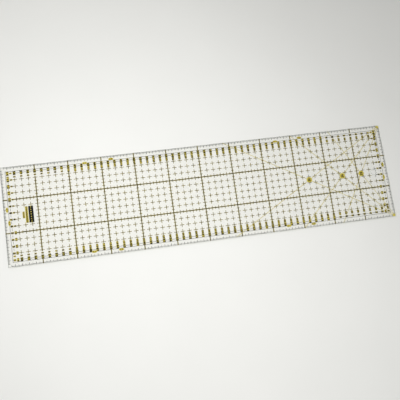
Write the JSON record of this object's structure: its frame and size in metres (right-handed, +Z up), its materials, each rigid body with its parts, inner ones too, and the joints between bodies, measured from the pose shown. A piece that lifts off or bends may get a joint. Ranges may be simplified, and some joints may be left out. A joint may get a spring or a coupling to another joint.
{
  "type": "quilting ruler",
  "caption": "Clear acrylic quilting ruler with a black and yellow printed centimetre grid, edge scales, angle lines and a hang hole.",
  "frame": {"origin": "middle of the ruler's footprint, on the surface it lies on", "axes": "+X along the ruler towards the end with the hang hole, +Y across it, +Z up out of the face that is read"},
  "size_m": [0.6, 0.15, 0.0031],
  "materials": {
    "clear_acrylic": "polished clear",
    "black_ink": "screen printed",
    "yellow_ink": "screen printed"
  },
  "bodies": {
    "root": {"acrylic_sheet": "clear_acrylic", "angle_labels": "black_ink", "angle_lines_30": "yellow_ink", "angle_lines_45": "yellow_ink", "angle_lines_60": "yellow_ink", "angle_spots": "yellow_ink", "centimetre_crosses": "black_ink", "corner_patches": "yellow_ink", "edge_scale_back": "black_ink", "edge_scale_front": "black_ink", "edge_scale_left": "black_ink", "edge_scale_right": "black_ink", "first_centimetre_line": "black_ink", "half_cm_oval_labels": "black_ink", "half_cm_ovals": "yellow_ink", "inner_numbers_back": "black_ink", "inner_numbers_front": "black_ink", "inner_numbers_left": "black_ink", "inner_numbers_right": "black_ink", "label_backing": "yellow_ink", "label_block": "black_ink", "label_caption": "black_ink", "major_grid_lines": "black_ink", "outer_numbers_back": "black_ink", "outer_numbers_front": "black_ink", "outer_numbers_left": "black_ink", "outer_numbers_right": "black_ink", "seam_allowance_line": "black_ink", "seam_oval_labels": "black_ink", "seam_ovals": "yellow_ink"}
  },
  "joints": []
}
